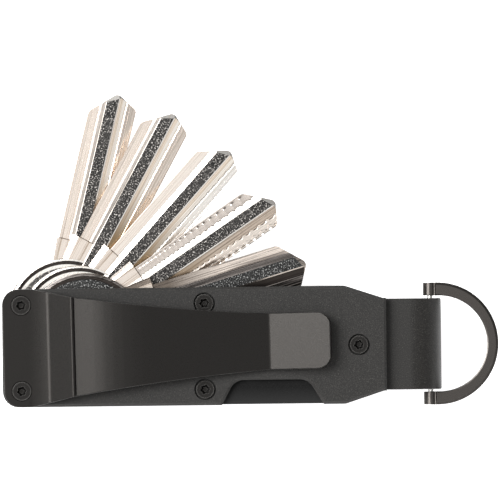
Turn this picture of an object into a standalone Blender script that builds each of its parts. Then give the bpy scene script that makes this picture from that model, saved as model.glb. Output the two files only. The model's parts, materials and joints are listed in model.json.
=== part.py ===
"""A slim key organizer: five keys on one pivot between two case plates, with a pocket clip on the
front and a D-ring at the end. Blender 4.5, metres, +Z up.

The case lies flat on its back plate. The origin is the middle of the back plate's outer face,
+X runs along the case to the D-ring, and +Y is the long side where the keys swing out.
Insets are measured along X from the left end of the case.
"""

import math

import bmesh
import bpy
from mathutils import Matrix, Vector

# Clearances that every fit is made from
SEAT_GAP = 0.0003
RUNNING_GAP = 0.00015
CUT_OVERRUN = 0.002
WELD = 0.000001

# Keys, from the pivot to the tip. Each blade and bow lies a little to one side of the pivot
REST_ANGLES = [76.2, 61.5, 48.1, 34.1, 16.8]
BLADE_SHIFTS = [0.0007, 0.0022, 0.0008, 0, 0.0019]
BOW_SHIFTS = [0.0008, 0.0015, 0, -0.0006, 0.0011]
PATTERNED_KEY = 3
KEY_THICKNESS = 0.0020
KEY_REACH = 0.0534
BOW_RADIUS = 0.0124
BOW_OFFSET = 0.0059
BOW_CHAMFER = 0.0008
BOW_CHAMFER_HEIGHT = 0.00035
COLLAR_START = 0.0165
COLLAR_START_WIDTH = 0.0108
COLLAR_REACH = 0.0213
COLLAR_WIDTH = 0.0128
COLLAR_STEP = 0.0007
BLADE_WIDTH = 0.0095
BLADE_RELIEF = 0.00004
RIB_WIDTH = 0.00225
RIB_OFFSET = 0.0003
LONG_TIP_SLOPE = 0.0049
SHORT_TIP_SLOPE = 0.0026
TIP_OFFSET = 0.00035
TIP_RADIUS = 0.0012
TIP_CHAMFER = 0.0006
# Across each side of the blade, from the rib to the edge, and up from the middle plane
SIDE_SHARES = [(0.00, 1.00), (0.22, 0.74), (0.46, 0.64), (0.56, 0.50), (1.00, 0.40)]
SCALLOP_PITCH = 0.0016
SCALLOP_RADIUS = 0.0010
SCALLOP_DEPTH = 0.0002
SCALLOP_START = 0.0242

# Pivot through the bows
PIVOT_INSET = 0.0117
BARREL_RADIUS = 0.0025
WASHER_RADIUS = 0.0050
WASHER_THICKNESS = 0.0003

# Case plates and the liners inside them
TIP_CLEARANCE = 0.0015
BLOCK_GRIP = 0.0118
PLATE_WIDTH = 0.0241
PLATE_THICKNESS = 0.0016
PLATE_CORNER_RADIUS = 0.0032
PLATE_CHAMFER = 0.0005
TAPER_LENGTH = 0.0079
TAPER_LAND = 0.0005
TAPER_RADIUS = 0.0020
PLATE_END_WIDTH = 0.0189
LINER_THICKNESS = 0.0008
LINER_INSET = 0.00015

# Thumb notch in the front plate's lower edge, placed from the block's end
NOTCH_TO_END = 0.0129
NOTCH_END_SLOPE = 0.0032
NOTCH_TOP_LENGTH = 0.0149
NOTCH_START_SLOPE = 0.0027
NOTCH_DEPTH = 0.0051
NOTCH_RADIUS = 0.0030

# Screws
SHANK_RADIUS = 0.0010
HEAD_RADIUS = 0.0019
HEAD_HEIGHT = 0.0008
HEAD_EDGE = 0.0002
HEAD_RECESS = 0.00015
RECESS_MARGIN = 0.00035
FLAT_HEAD_RADIUS = 0.0020
FLAT_HEAD_RIM = 0.00015
FLAT_HEAD_HEIGHT = 0.0009
SOCKET_RADIUS = 0.0010
SOCKET_DEPTH = 0.0005
THREAD_LENGTH = 0.0030
CORNER_SCREW_INSET = 0.0039
CORNER_SCREW_EDGE = 0.0033
MIDDLE_SCREW_TO_NOTCH = 0.0034
MIDDLE_SCREW_EDGE = 0.00325
END_SCREW_FROM_END = 0.0056
STANDOFF_RADIUS = 0.0019

# Pocket clip, bent from sheet and seated a little askew
CLIP_TURN = 0.95
CLIP_FOOT_INSET = 0.0002
CLIP_THICKNESS = 0.0012
CLIP_FOOT_LENGTH = 0.0096
CLIP_FOOT_SHOULDER = 0.0060
CLIP_RISER_LENGTH = 0.0051
CLIP_RISE = 0.0028
CLIP_ARM_LENGTH = 0.0399
CLIP_ARM_GAP = 0.0004
CLIP_TAB_LENGTH = 0.0121
CLIP_TAB_RISE = 0.0030
CLIP_RISER_WIDTH = 0.0202
CLIP_WAIST_REACH = 0.0156
CLIP_WAIST_WIDTH = 0.0160
CLIP_TAB_WIDTH = 0.0115
CLIP_TAB_RADIUS = 0.0029
CLIP_BEND_RADIUS = 0.0015
CLIP_TAB_BEND_RADIUS = 0.0040
CLIP_EDGE = 0.00015

# Hinge block and D-ring
BLOCK_INSET = 0.00015
BLOCK_OVERHANG = 0.0113
BLOCK_EDGE = 0.0003
PIN_RADIUS = 0.00055
PIN_FROM_NOSE = 0.0022
PIN_CLEARANCE = 0.0002
RING_SIDE_GAP = 0.0005
RING_WIDTH = 0.0027
RING_REACH = 0.0139
RING_CROWN_WIDTH = 0.0023
RING_THICKNESS = 0.0020
RING_CHAMFER = 0.0004
KNUCKLE_RADIUS = 0.00147
KNUCKLE_INSET = 0.00004
PIN_INSET = 0.0002

# Counts and angles
ROUND_STEPS = 18
BOW_STEPS = 56
SCALLOP_STEPS = 12
CORNER_STEPS = 6
BEND_STEPS = 3
NOSE_STEPS = 14
RING_STEPS = 30
SOCKET_LOBES = 6
LOBE_STEPS = 4
LOBE_SHARE = 0.13
SMOOTH_ANGLE = math.radians(35)

# Sizes that follow from the ones above
PLATE_LENGTH = PIVOT_INSET + KEY_REACH + TIP_CLEARANCE + BLOCK_GRIP
LAYER_PITCH = KEY_THICKNESS + WASHER_THICKNESS + RUNNING_GAP * 2
CAVITY_HEIGHT = LAYER_PITCH * len(REST_ANGLES) + WASHER_THICKNESS + RUNNING_GAP * 2
CAVITY_BOTTOM = PLATE_THICKNESS + SEAT_GAP + LINER_THICKNESS
CAVITY_TOP = CAVITY_BOTTOM + CAVITY_HEIGHT
FRONT_PLATE_BOTTOM = CAVITY_TOP + LINER_THICKNESS + SEAT_GAP
CASE_TOP = FRONT_PLATE_BOTTOM + PLATE_THICKNESS
BLOCK_WIDTH = PLATE_END_WIDTH - BLOCK_INSET * 2
BLOCK_HEIGHT = CAVITY_HEIGHT - SEAT_GAP * 2
HOLE_RADIUS = SHANK_RADIUS + SEAT_GAP
NOTCH_END = PLATE_LENGTH - NOTCH_TO_END
NOTCH_TOP_END = NOTCH_END - NOTCH_END_SLOPE
NOTCH_TOP_START = NOTCH_TOP_END - NOTCH_TOP_LENGTH
NOTCH_START = NOTCH_TOP_START - NOTCH_START_SLOPE
MIDDLE_SCREW_INSET = NOTCH_START - MIDDLE_SCREW_TO_NOTCH


def along(inset):
    """The X of a place that lies this far from the left end of the case."""
    return inset - PLATE_LENGTH / 2


CORNER_SCREW = (along(CORNER_SCREW_INSET), PLATE_WIDTH / 2 - CORNER_SCREW_EDGE)
MIDDLE_SCREW = (along(MIDDLE_SCREW_INSET), PLATE_WIDTH / 2 - MIDDLE_SCREW_EDGE)
END_SCREW = (along(PLATE_LENGTH - END_SCREW_FROM_END), 0)
PIVOT = (along(PIVOT_INSET), 0)
PIN_X = along(PLATE_LENGTH + BLOCK_OVERHANG - PIN_FROM_NOSE)


def clear_scene():
    for obj in list(bpy.data.objects):
        bpy.data.objects.remove(obj, do_unlink=True)


def make_finish(name, colour, metallic, roughness):
    finish = bpy.data.materials.new(name)
    finish.use_nodes = True
    shader = finish.node_tree.nodes["Principled BSDF"]
    shader.inputs["Base Color"].default_value = (*colour, 1)
    shader.inputs["Metallic"].default_value = metallic
    shader.inputs["Roughness"].default_value = roughness
    return finish


def make_object(name, bm, finish=None):
    """A mesh object from the bmesh, its faces turned outward and its round faces smooth."""
    bmesh.ops.recalc_face_normals(bm, faces=bm.faces)
    mesh = bpy.data.meshes.new(name)
    bm.to_mesh(mesh)
    bm.free()
    if finish:
        mesh.materials.append(finish)
    obj = bpy.data.objects.new(name, mesh)
    bpy.context.collection.objects.link(obj)
    return obj


def bake(obj):
    """Turns the object's modifiers into its mesh and shades it."""
    graph = bpy.context.evaluated_depsgraph_get()
    mesh = bpy.data.meshes.new_from_object(obj.evaluated_get(graph), depsgraph=graph)
    obj.modifiers.clear()
    obj.data = mesh
    mesh.shade_smooth()
    mesh.set_sharp_from_angle(angle=SMOOTH_ANGLE)


def combine(obj, others, operation):
    """Cuts, joins or intersects the object with the others, which are then removed."""
    for other in others:
        step = obj.modifiers.new(other.name, "BOOLEAN")
        step.operation = operation
        step.object = other
    bpy.context.view_layer.update()
    bake(obj)
    for other in others:
        bpy.data.objects.remove(other, do_unlink=True)
    return obj


def rounded_path(corners, closed, steps=CORNER_STEPS):
    """Corner points (x, y, radius) in order become a path whose corners are arcs."""
    path = []
    for index, (x, y, radius) in enumerate(corners):
        corner = Vector((x, y))
        is_end = not closed and index in (0, len(corners) - 1)
        if radius == 0 or is_end:
            path.append(corner)
            continue
        back = (Vector(corners[index - 1][:2]) - corner).normalized()
        ahead = (Vector(corners[(index + 1) % len(corners)][:2]) - corner).normalized()
        half = back.angle(ahead) / 2
        centre = corner + (back + ahead).normalized() * (radius / math.sin(half))
        start = corner + back * (radius / math.tan(half)) - centre
        end = corner + ahead * (radius / math.tan(half)) - centre
        sweep = math.atan2(start.x * end.y - start.y * end.x, start.dot(end))
        for step in range(steps + 1):
            turn = Matrix.Rotation(sweep * step / steps, 2)
            path.append(centre + turn @ start)
    return path


def arc(centre_x, radius, start, end, steps):
    """Points on an arc about a centre on the X axis, from one angle to another in degrees."""
    angles = [math.radians(start + (end - start) * step / steps) for step in range(steps + 1)]
    return [Vector((centre_x + radius * math.cos(a), radius * math.sin(a))) for a in angles]


def prism(outline, bottom, top, top_chamfer=0, bottom_chamfer=0):
    """A bmesh of the outline extruded from one height to another, its rims chamfered."""
    bm = bmesh.new()
    floor = bm.faces.new([bm.verts.new((x, y, bottom)) for x, y in outline])
    raised = bmesh.ops.extrude_face_region(bm, geom=[floor])["geom"]
    lid = [item for item in raised if isinstance(item, bmesh.types.BMVert)]
    bmesh.ops.translate(bm, verts=lid, vec=(0, 0, top - bottom))
    bmesh.ops.recalc_face_normals(bm, faces=bm.faces)
    for height, chamfer in ((top, top_chamfer), (bottom, bottom_chamfer)):
        if chamfer:
            rim = [
                edge
                for edge in bm.edges
                if all(abs(vert.co.z - height) < WELD for vert in edge.verts)
            ]
            bmesh.ops.bevel(bm, geom=rim, offset=chamfer, segments=1, affect="EDGES")
    return bm


def turned(profile, closed=False, steps=ROUND_STEPS):
    """A bmesh of a profile of (radius, height) points turned about Z."""
    bm = bmesh.new()
    verts = [bm.verts.new((radius, 0, height)) for radius, height in profile]
    edges = [bm.edges.new(pair) for pair in zip(verts, verts[1:])]
    if closed:
        edges.append(bm.edges.new((verts[-1], verts[0])))
    bmesh.ops.spin(
        bm, geom=verts + edges, cent=(0, 0, 0), axis=(0, 0, 1),
        angle=math.tau, steps=steps, use_merge=True,
    )
    bmesh.ops.remove_doubles(bm, verts=bm.verts, dist=WELD)
    return bm


def make_bore(radius, bottom, top, x=0, y=0, steps=ROUND_STEPS):
    """A cutter for a round hole along Z."""
    profile = [(0, top), (radius, top), (radius, bottom), (0, bottom)]
    cutter = make_object("bore", turned(profile, steps=steps))
    cutter.location = (x, y, 0)
    return cutter


def make_screw_seat(place, face, flips):
    """A cutter for a screw hole with a round recess for its head, from the face inward."""
    recess = HEAD_RADIUS + RECESS_MARGIN
    depth = HEAD_RECESS + HEAD_HEIGHT + SEAT_GAP
    reach = PLATE_THICKNESS + CUT_OVERRUN
    profile = [
        (0, CUT_OVERRUN), (recess, CUT_OVERRUN), (recess, -depth),
        (HOLE_RADIUS, -depth), (HOLE_RADIUS, -reach), (0, -reach),
    ]
    cutter = make_object("screw_seat", turned(profile))
    cutter.location = (*place, face)
    cutter.rotation_euler = (math.pi if flips else 0, 0, 0)
    return cutter


def mirrored_places():
    """The four corner and middle screw places."""
    return [(x, side * y) for x, y in (CORNER_SCREW, MIDDLE_SCREW) for side in (1, -1)]


def plate_corners(inset, notched):
    """The corners of the case plate's outline, from the lower left round to the upper left."""
    left = along(inset)
    right = along(PLATE_LENGTH - inset)
    half = PLATE_WIDTH / 2 - inset
    end_half = PLATE_END_WIDTH / 2 - inset
    land = along(PLATE_LENGTH - TAPER_LAND)
    taper = along(PLATE_LENGTH - TAPER_LAND - TAPER_LENGTH)
    corners = [(left, -half, PLATE_CORNER_RADIUS - inset)]
    if notched:
        corners += [
            (along(NOTCH_START), -half, 0),
            (along(NOTCH_TOP_START), -half + NOTCH_DEPTH, NOTCH_RADIUS),
            (along(NOTCH_TOP_END), -half + NOTCH_DEPTH, NOTCH_RADIUS),
            (along(NOTCH_END), -half, 0),
        ]
    corners += [
        (taper, -half, TAPER_RADIUS),
        (land, -end_half, 0),
        (right, -end_half, 0),
        (right, end_half, 0),
        (land, end_half, 0),
        (taper, half, TAPER_RADIUS),
        (left, half, PLATE_CORNER_RADIUS - inset),
    ]
    return corners


def make_plate(name, finish, bottom, notched, flips):
    """A case plate whose chamfered face looks up, or down when it flips."""
    outline = rounded_path(plate_corners(0, notched), closed=True)
    chamfers = (0, PLATE_CHAMFER) if flips else (PLATE_CHAMFER, 0)
    plate = make_object(name, prism(outline, 0, PLATE_THICKNESS, *chamfers), finish)
    plate.location = (0, 0, bottom)
    face = bottom if flips else bottom + PLATE_THICKNESS
    recessed = [MIDDLE_SCREW, (MIDDLE_SCREW[0], -MIDDLE_SCREW[1]), END_SCREW, PIVOT]
    corners = [CORNER_SCREW, (CORNER_SCREW[0], -CORNER_SCREW[1])]
    cutters = [make_screw_seat(place, face, flips) for place in recessed]
    if flips:
        cutters += [make_screw_seat(place, face, flips) for place in corners]
    else:
        reach = (bottom - CUT_OVERRUN, face + CUT_OVERRUN)
        cutters += [make_bore(HOLE_RADIUS, *reach, *place) for place in corners]
    return combine(plate, cutters, "DIFFERENCE")


def make_liner(name, finish, bottom):
    """A thin inner plate that the screws of the outer one hold."""
    outline = rounded_path(plate_corners(LINER_INSET, notched=False), closed=True)
    liner = make_object(name, prism(outline, 0, LINER_THICKNESS), finish)
    liner.location = (0, 0, bottom)
    reach = (bottom - CUT_OVERRUN, bottom + LINER_THICKNESS + CUT_OVERRUN)
    places = [*mirrored_places(), END_SCREW, PIVOT]
    return combine(liner, [make_bore(HOLE_RADIUS, *reach, *place) for place in places], "DIFFERENCE")


def socket_outline():
    """A star with round lobes."""
    count = SOCKET_LOBES * LOBE_STEPS
    points = []
    for index in range(count):
        turn = math.tau * index / count
        radius = SOCKET_RADIUS * (1 - LOBE_SHARE + LOBE_SHARE * math.cos(SOCKET_LOBES * turn))
        points.append((radius * math.cos(turn), radius * math.sin(turn)))
    return points


def make_screw(name, finish, place, face, end, flat=False, flips=False):
    """A screw whose head lies at the face, which reaches in to the height given as its end."""
    length = abs(face - end)
    if flat:
        head = [
            (0, 0), (FLAT_HEAD_RADIUS, 0), (FLAT_HEAD_RADIUS, -FLAT_HEAD_RIM),
            (SHANK_RADIUS, -FLAT_HEAD_HEIGHT),
        ]
    else:
        head = [
            (0, 0), (HEAD_RADIUS - HEAD_EDGE, 0), (HEAD_RADIUS, -HEAD_EDGE),
            (HEAD_RADIUS, -HEAD_HEIGHT), (SHANK_RADIUS, -HEAD_HEIGHT),
        ]
    profile = [*head, (SHANK_RADIUS, -length), (0, -length)]
    screw = make_object(name, turned(profile), finish)
    socket = make_object("socket", prism(socket_outline(), -SOCKET_DEPTH, CUT_OVERRUN))
    combine(screw, [socket], "DIFFERENCE")
    screw.location = (*place, face)
    screw.rotation_euler = (math.pi if flips else 0, 0, 0)
    return screw


def make_screws(finish):
    """The clip's flat screws, the recessed ones of the front, and those of the back."""
    front = CASE_TOP - HEAD_RECESS
    back = HEAD_RECESS
    clip_face = CASE_TOP + SEAT_GAP + CLIP_THICKNESS
    in_front_liner = CAVITY_TOP + SEAT_GAP
    in_back_liner = CAVITY_BOTTOM - SEAT_GAP
    into_front = CAVITY_TOP - SEAT_GAP - THREAD_LENGTH
    into_back = CAVITY_BOTTOM + SEAT_GAP + THREAD_LENGTH
    for kind, (x, y) in (("corner", CORNER_SCREW), ("middle", MIDDLE_SCREW)):
        is_corner = kind == "corner"
        face = clip_face if is_corner else front
        front_name = "clip_screw" if is_corner else "front_screw_middle"
        make_screw(f"{front_name}_upper", finish, (x, y), face, in_front_liner, flat=is_corner)
        make_screw(f"{front_name}_lower", finish, (x, -y), face, into_front, flat=is_corner)
        back_name = f"back_screw_{kind}"
        make_screw(f"{back_name}_upper", finish, (x, y), back, in_back_liner, flips=True)
        make_screw(f"{back_name}_lower", finish, (x, -y), back, into_back, flips=True)
    for kind, place in (("end", END_SCREW), ("pivot", PIVOT)):
        make_screw(f"front_screw_{kind}", finish, place, front, into_front)
        make_screw(f"back_screw_{kind}", finish, place, back, into_back, flips=True)


def make_post(name, finish, place, radius):
    """A round post between the liners, bored at both ends for screws."""
    bottom = CAVITY_BOTTOM + SEAT_GAP
    top = CAVITY_TOP - SEAT_GAP
    depth = THREAD_LENGTH + SEAT_GAP
    profile = [
        (0, top - depth), (HOLE_RADIUS, top - depth), (HOLE_RADIUS, top), (radius, top),
        (radius, bottom), (HOLE_RADIUS, bottom), (HOLE_RADIUS, bottom + depth), (0, bottom + depth),
    ]
    post = make_object(name, turned(profile), finish)
    post.location = (*place, 0)
    bake(post)


def make_washers(finish):
    """The washers under, between and over the keys."""
    inner = BARREL_RADIUS + SEAT_GAP
    for layer in range(len(REST_ANGLES) + 1):
        bottom = CAVITY_BOTTOM + RUNNING_GAP + LAYER_PITCH * layer
        profile = [
            (inner, WASHER_THICKNESS), (WASHER_RADIUS, WASHER_THICKNESS),
            (WASHER_RADIUS, 0), (inner, 0),
        ]
        washer = make_object(f"pivot_washer_{layer + 1}", turned(profile, closed=True), finish)
        washer.location = (*PIVOT, bottom)
        bake(washer)


def blade_section(width):
    """The outline across a blade or collar, (y, z) points about the blade's middle plane."""
    half_thickness = KEY_THICKNESS / 2 - BLADE_RELIEF
    rib_right = RIB_OFFSET + RIB_WIDTH / 2
    rib_left = RIB_OFFSET - RIB_WIDTH / 2
    right = [(rib_right + (width / 2 - rib_right) * out, half_thickness * up) for out, up in SIDE_SHARES]
    left = [(rib_left + (-width / 2 - rib_left) * out, half_thickness * up) for out, up in SIDE_SHARES]
    upper = right[::-1] + left
    lower = [(y, -z) for y, z in reversed(upper)]
    return upper + lower


def make_blade():
    """The blade and its wider collar, lofted along X through sections."""
    stations = [
        (BOW_OFFSET, COLLAR_START_WIDTH),
        (COLLAR_START, COLLAR_START_WIDTH),
        (COLLAR_REACH, COLLAR_WIDTH),
        (COLLAR_REACH + COLLAR_STEP, BLADE_WIDTH),
        (KEY_REACH + CUT_OVERRUN, BLADE_WIDTH),
    ]
    bm = bmesh.new()
    middle = KEY_THICKNESS / 2
    rings = [
        [bm.verts.new((x, y, middle + z)) for y, z in blade_section(width)] for x, width in stations
    ]
    for ring, following in zip(rings, rings[1:]):
        for index in range(len(ring)):
            beside = index - 1
            bm.faces.new((ring[beside], ring[index], following[index], following[beside]))
    bm.faces.new(rings[0])
    bm.faces.new(rings[-1])
    return make_object("blade", bm)


def make_tip_shape():
    """A solid whose pointed end gives the blade its tip."""
    half = COLLAR_WIDTH
    edge = BLADE_WIDTH / 2
    long_share = (half + TIP_OFFSET) / (edge + TIP_OFFSET)
    short_share = (half - TIP_OFFSET) / (edge - TIP_OFFSET)
    corners = [
        (0, -half, 0),
        (KEY_REACH - SHORT_TIP_SLOPE * short_share, -half, 0),
        (KEY_REACH, -TIP_OFFSET, TIP_RADIUS),
        (KEY_REACH - LONG_TIP_SLOPE * long_share, half, 0),
        (0, half, 0),
    ]
    outline = rounded_path(corners, closed=True)
    return make_object("tip", prism(outline, 0, KEY_THICKNESS, TIP_CHAMFER, TIP_CHAMFER))


def make_scallops():
    """Cutters for the rows of shallow scallops along both edges of the patterned key."""
    cutters = []
    straight = KEY_REACH - LONG_TIP_SLOPE - SCALLOP_START
    lift = BLADE_WIDTH / 2 - SCALLOP_DEPTH + SCALLOP_RADIUS
    reach = (-CUT_OVERRUN, KEY_THICKNESS + CUT_OVERRUN)
    for index in range(int(straight / SCALLOP_PITCH)):
        x = SCALLOP_START + SCALLOP_PITCH * index
        for y in (lift, -lift):
            cutters.append(make_bore(SCALLOP_RADIUS, *reach, x, y, SCALLOP_STEPS))
    return cutters


def make_key(index, angle, finish):
    """A key with a round bow, a collar and a ribbed blade, hung on the pivot at its origin."""
    inner = KEY_THICKNESS - BOW_CHAMFER_HEIGHT
    face = BOW_RADIUS - BOW_CHAMFER
    profile = [
        (0, KEY_THICKNESS), (face, KEY_THICKNESS), (BOW_RADIUS, inner),
        (BOW_RADIUS, BOW_CHAMFER_HEIGHT), (face, 0), (0, 0),
    ]
    key = make_object(f"key_{index + 1}", turned(profile, steps=BOW_STEPS), finish)
    key.data.transform(Matrix.Translation((BOW_OFFSET, BOW_SHIFTS[index], 0)))
    blade = combine(make_blade(), [make_tip_shape()], "INTERSECT")
    if index == PATTERNED_KEY:
        combine(blade, make_scallops(), "DIFFERENCE")
    blade.data.transform(Matrix.Translation((0, BLADE_SHIFTS[index], 0)))
    combine(key, [blade], "UNION")
    hole = BARREL_RADIUS + SEAT_GAP
    combine(key, [make_bore(hole, -CUT_OVERRUN, KEY_THICKNESS + CUT_OVERRUN)], "DIFFERENCE")
    bottom = CAVITY_BOTTOM + RUNNING_GAP * 2 + WASHER_THICKNESS + LAYER_PITCH * index
    key.location = (*PIVOT, bottom)
    key.rotation_euler = (0, 0, math.radians(angle))


def value_at(x, points):
    """The straight-line value at x among (x, value) points in rising order of x."""
    for (x0, v0), (x1, v1) in zip(points, points[1:]):
        if x <= x1:
            return v0 + (v1 - v0) * (x - x0) / (x1 - x0)
    return points[-1][1]


def bend(bm, profile):
    """Bends a flat sheet, lying on z = 0, along a profile of (x, height) points."""
    for point in profile[1:-1]:
        geom = [*bm.verts, *bm.edges, *bm.faces]
        bmesh.ops.bisect_plane(bm, geom=geom, plane_co=(point.x, 0, 0), plane_no=(1, 0, 0))
    slopes = [(after - point).normalized() for point, after in zip(profile, profile[1:])]
    leans = []
    lifts = []
    for point, before, after in zip(profile, [slopes[0], *slopes], [*slopes, slopes[-1]]):
        across = (before + after).orthogonal().normalized()
        across /= across.dot(before.orthogonal())
        leans.append((point.x, across.x))
        lifts.append((point.x, across.y))
    heights = [tuple(point) for point in profile]
    for vert in bm.verts:
        x, y, z = vert.co
        vert.co.x = x + z * value_at(x, leans)
        vert.co.z = value_at(x, heights) + z * value_at(x, lifts)


def make_clip_seat(place):
    """A cutter for a flat screw's hole in the clip's foot."""
    wide = FLAT_HEAD_RADIUS + RUNNING_GAP
    rim = CLIP_THICKNESS - FLAT_HEAD_RIM - RUNNING_GAP
    waist = CLIP_THICKNESS - FLAT_HEAD_HEIGHT - RUNNING_GAP
    over = CLIP_THICKNESS + CUT_OVERRUN
    profile = [
        (0, over), (wide, over), (wide, rim), (HOLE_RADIUS, waist),
        (HOLE_RADIUS, -CUT_OVERRUN), (0, -CUT_OVERRUN),
    ]
    cutter = make_object("clip_seat", turned(profile))
    cutter.location = (*place, CASE_TOP + SEAT_GAP)
    return cutter


def make_clip(finish):
    """The pocket clip: a foot under the corner screws, a riser, a tapering arm and a flared tab."""
    riser_end = CLIP_FOOT_LENGTH + CLIP_RISER_LENGTH
    arm_end = riser_end + CLIP_ARM_LENGTH
    clip_end = arm_end + CLIP_TAB_LENGTH
    upper = [
        (clip_end, CLIP_TAB_WIDTH / 2, CLIP_TAB_RADIUS),
        (arm_end, CLIP_TAB_WIDTH / 2, 0),
        (riser_end + CLIP_WAIST_REACH, CLIP_WAIST_WIDTH / 2, 0),
        (riser_end, CLIP_RISER_WIDTH / 2, 0),
        (CLIP_FOOT_SHOULDER, PLATE_WIDTH / 2, CLIP_FOOT_SHOULDER / 2),
        (CLIP_FOOT_INSET, PLATE_WIDTH / 2, PLATE_CORNER_RADIUS),
    ]
    lower = [(x, -y, radius) for x, y, radius in reversed(upper)]
    outline = rounded_path(upper + lower, closed=True)
    side_view = [
        (0, 0, 0),
        (CLIP_FOOT_LENGTH, 0, CLIP_BEND_RADIUS),
        (riser_end, CLIP_RISE, CLIP_BEND_RADIUS),
        (arm_end, CLIP_ARM_GAP, CLIP_TAB_BEND_RADIUS),
        (clip_end, CLIP_TAB_RISE, 0),
    ]
    bm = prism(outline, 0, CLIP_THICKNESS, CLIP_EDGE, CLIP_EDGE)
    bend(bm, rounded_path(side_view, closed=False, steps=BEND_STEPS))
    bm.transform(Matrix.Translation((-CORNER_SCREW_INSET, 0, 0)))
    bm.transform(Matrix.Rotation(math.radians(CLIP_TURN), 4, "Z"))
    clip = make_object("pocket_clip", bm, finish)
    x, y = CORNER_SCREW
    clip.location = (x, 0, CASE_TOP + SEAT_GAP)
    combine(clip, [make_clip_seat((x, y)), make_clip_seat((x, -y))], "DIFFERENCE")


def make_block(finish):
    """The block gripped between the plates, with a round nose that carries the D-ring's pin."""
    start = along(PLATE_LENGTH - BLOCK_GRIP)
    end = along(PLATE_LENGTH + BLOCK_OVERHANG)
    bottom = CAVITY_BOTTOM + SEAT_GAP
    top = bottom + BLOCK_HEIGHT
    middle = (top + bottom) / 2
    nose = [
        point + Vector((0, middle))
        for point in arc(end - BLOCK_HEIGHT / 2, BLOCK_HEIGHT / 2, -90, 90, NOSE_STEPS)
    ]
    outline = [(start, top), (start, bottom), *nose]
    half = BLOCK_WIDTH / 2
    bm = prism(outline, -half, half, BLOCK_EDGE, BLOCK_EDGE)
    bm.transform(Matrix.Rotation(math.pi / 2, 4, "X"))
    block = make_object("hinge_block", bm, finish)
    pin_hole = make_bore(PIN_RADIUS + PIN_CLEARANCE, -PLATE_WIDTH, PLATE_WIDTH)
    pin_hole.rotation_euler = (math.pi / 2, 0, 0)
    pin_hole.location = (PIN_X, 0, middle)
    depth = THREAD_LENGTH + SEAT_GAP
    upper = make_bore(HOLE_RADIUS, top - depth, top + CUT_OVERRUN, *END_SCREW)
    lower = make_bore(HOLE_RADIUS, bottom - CUT_OVERRUN, bottom + depth, *END_SCREW)
    combine(block, [pin_hole, upper, lower], "DIFFERENCE")


def make_pin(finish, ring_half):
    """The D-ring's pin, through the block and both knuckles."""
    half = ring_half - PIN_INSET
    profile = [(0, half), (PIN_RADIUS, half), (PIN_RADIUS, -half), (0, -half)]
    pin = make_object("ring_pin", turned(profile), finish)
    pin.data.transform(Matrix.Rotation(math.pi / 2, 4, "X"))
    pin.location = (PIN_X, 0, (CAVITY_BOTTOM + CAVITY_TOP) / 2)
    bake(pin)


def make_ring(finish, inner, outer):
    """The D-ring: a flat bar bent round, with a knuckle on the pin at each end."""
    outer_centre = RING_REACH - outer
    inner_centre = RING_REACH - RING_CROWN_WIDTH - inner
    outline = [
        Vector((0, outer)),
        *arc(outer_centre, outer, 90, -90, RING_STEPS),
        Vector((0, -outer)),
        Vector((0, -inner)),
        *arc(inner_centre, inner, -90, 90, RING_STEPS),
        Vector((0, inner)),
    ]
    half = RING_THICKNESS / 2
    ring = make_object("d_ring", prism(outline, -half, half, RING_CHAMFER, RING_CHAMFER), finish)
    knuckles = []
    for side in (1, -1):
        start = inner + KNUCKLE_INSET
        end = outer - KNUCKLE_INSET
        profile = [(0, end), (KNUCKLE_RADIUS, end), (KNUCKLE_RADIUS, start), (0, start)]
        knuckle = make_object("knuckle", turned(profile))
        knuckle.rotation_euler = (-side * math.pi / 2, 0, 0)
        knuckles.append(knuckle)
    combine(ring, knuckles, "UNION")
    hole = make_bore(PIN_RADIUS + PIN_CLEARANCE, -PLATE_WIDTH, PLATE_WIDTH)
    hole.rotation_euler = (math.pi / 2, 0, 0)
    combine(ring, [hole], "DIFFERENCE")
    ring.location = (PIN_X, 0, (CAVITY_BOTTOM + CAVITY_TOP) / 2)


def main():
    clear_scene()
    anodised = make_finish("black_anodised", (0.050, 0.050, 0.048), 0.3, 0.55)
    clip_black = make_finish("clip_black", (0.035, 0.033, 0.032), 0.8, 0.4)
    screw_black = make_finish("screw_black", (0.030, 0.030, 0.031), 0.9, 0.35)
    key_silver = make_finish("nickel_silver", (0.72, 0.68, 0.62), 1.0, 0.3)
    ring_grey = make_finish("gunmetal", (0.065, 0.058, 0.052), 0.9, 0.35)
    steel = make_finish("bright_steel", (0.6, 0.6, 0.6), 1.0, 0.3)

    make_plate("back_plate", anodised, 0, notched=False, flips=True)
    make_liner("back_liner", anodised, PLATE_THICKNESS + SEAT_GAP)
    make_liner("front_liner", anodised, CAVITY_TOP)
    make_plate("front_plate", anodised, FRONT_PLATE_BOTTOM, notched=True, flips=False)

    make_post("pivot_barrel", steel, PIVOT, BARREL_RADIUS)
    make_post("standoff_corner", steel, (CORNER_SCREW[0], -CORNER_SCREW[1]), STANDOFF_RADIUS)
    make_post("standoff_middle", steel, (MIDDLE_SCREW[0], -MIDDLE_SCREW[1]), STANDOFF_RADIUS)
    make_washers(steel)
    for index, angle in enumerate(REST_ANGLES):
        make_key(index, angle, key_silver)

    make_clip(clip_black)
    make_screws(screw_black)

    make_block(anodised)
    inner = BLOCK_WIDTH / 2 + RING_SIDE_GAP
    outer = inner + RING_WIDTH
    make_pin(steel, outer)
    make_ring(ring_grey, inner, outer)


main()
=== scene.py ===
# %% [markdown]
# # A key organizer with five keys fanned out
# The real thing is a slim metal case: two black plates hold a stack of five keys on one pivot, a
# bent clip is screwed to the front, and a D-ring hangs from the block at the end. The solids come
# in already packed, with their joints. This script reads each place from them, gives every
# surface a finish, and models again, in more detail, the pieces that need it.

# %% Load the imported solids
import json
import math

import bmesh
import bpy
from mathutils import Matrix, Vector


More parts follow.
